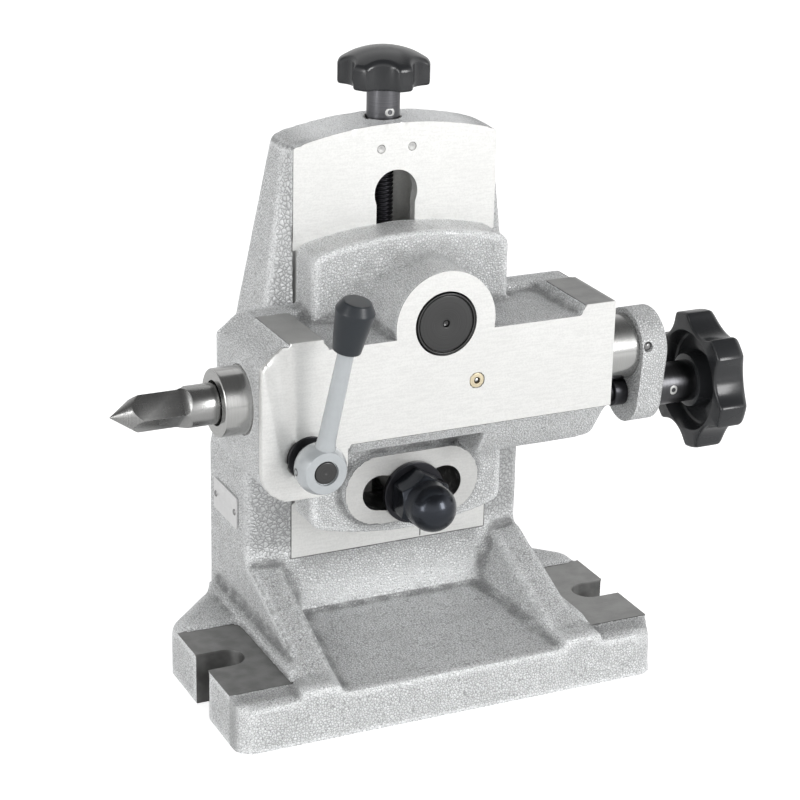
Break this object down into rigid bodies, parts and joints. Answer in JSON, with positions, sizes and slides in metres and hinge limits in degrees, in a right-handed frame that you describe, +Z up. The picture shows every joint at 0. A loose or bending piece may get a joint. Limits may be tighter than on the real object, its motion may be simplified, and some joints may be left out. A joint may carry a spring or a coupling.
{
  "type": "tailstock",
  "caption": "Tailstock with a lifting and tilting head, a quill with a four-flat centre, clamp lever and knobs, on a base with open bolt slots.",
  "frame": {"origin": "on the underside of the base, midway between the two bolt slots and below the quill's axis", "axes": "+X along the quill from its centre to the side knob, +Y from the front of the base to the column, +Z up"},
  "size_m": [0.3205, 0.1548, 0.302],
  "materials": {
    "casting": "silver-grey casting paint with milled faces",
    "steel": "turned",
    "ground_steel": "ground bright",
    "black_steel": "black oxide",
    "washer_steel": "dark, plain",
    "nut_chrome": "dark, polished",
    "plate": "bare",
    "brass": "turned",
    "knob_plastic": "black, glossy",
    "grip_plastic": "dark slate",
    "lever_paint": "pale blue-grey paint"
  },
  "bodies": {
    "base": {"base_casting": "casting", "retaining_pins": "steel", "name_plate": "plate", "plate_rivets": "plate"},
    "elevating_screw": {"elevating_screw": "black_steel", "top_knob_bush": "black_steel", "top_knob_pin": "steel", "top_knob": "knob_plastic"},
    "slider": {"slide_block": "steel", "pivot_stud": "steel", "clamp_t_bolt": "steel"},
    "clamp_nut": {"washer": "washer_steel", "dome_nut": "nut_chrome"},
    "head": {"head_casting": "casting", "oil_cup": "brass", "clamp_cotter_front": "black_steel", "clamp_cotter_rear": "black_steel"},
    "oiler_ball": {"oiler_ball": "steel"},
    "quill": {"quill_sleeve": "ground_steel", "centre": "ground_steel", "quill_bracket": "lever_paint", "bracket_set_screw": "black_steel"},
    "feed_screw": {"feed_screw": "black_steel", "thrust_collar": "black_steel", "side_knob_bush": "black_steel", "side_knob_pin": "steel", "side_knob": "knob_plastic"},
    "clamp_lever": {"clamp_bolt": "steel", "lever_arm": "lever_paint", "lever_grip": "grip_plastic"}
  },
  "joints": [
    {"name": "head_height", "type": "slide", "parent": "base", "child": "slider", "axis": [0, 0, 1], "range_m": [-0.013, 0.045]},
    {"name": "elevating_screw_turn", "type": "hinge", "parent": "base", "child": "elevating_screw", "pos_m": [0, 0.0462, 0.2], "axis": [0, 0, 1], "range_deg": [-4050, 1170]},
    {"name": "head_tilt", "type": "hinge", "parent": "slider", "child": "head", "pos_m": [0, 0, 0.1889], "axis": [0, 1, 0], "range_deg": [-10, 10]},
    {"name": "clamp_nut_turn", "type": "hinge", "parent": "slider", "child": "clamp_nut", "pos_m": [0, 0, 0.094], "axis": [0, 1, 0], "range_deg": [-30, 180]},
    {"name": "quill_feed", "type": "slide", "parent": "head", "child": "quill", "axis": [1, 0, 0], "range_m": [-0.014, 0.01]},
    {"name": "feed_screw_turn", "type": "hinge", "parent": "quill", "child": "feed_screw", "pos_m": [0.14, 0, 0.1322], "axis": [1, 0, 0], "range_deg": [-2520, 1800]},
    {"name": "clamp_lever_turn", "type": "hinge", "parent": "head", "child": "clamp_lever", "pos_m": [-0.0673, 0, 0.1333], "axis": [0, 1, 0], "range_deg": [-60, 60]},
    {"name": "oiler_ball_press", "type": "slide", "parent": "head", "child": "oiler_ball", "axis": [0, 1, 0], "range_m": [0, 0.0008], "stiffness_N_per_m": 200}
  ],
  "couplings": [
    {"joint": "elevating_screw_turn", "follows": "head_height", "rad_per_m": -1570.8},
    {"joint": "feed_screw_turn", "follows": "quill_feed", "rad_per_m": 3141.6}
  ]
}
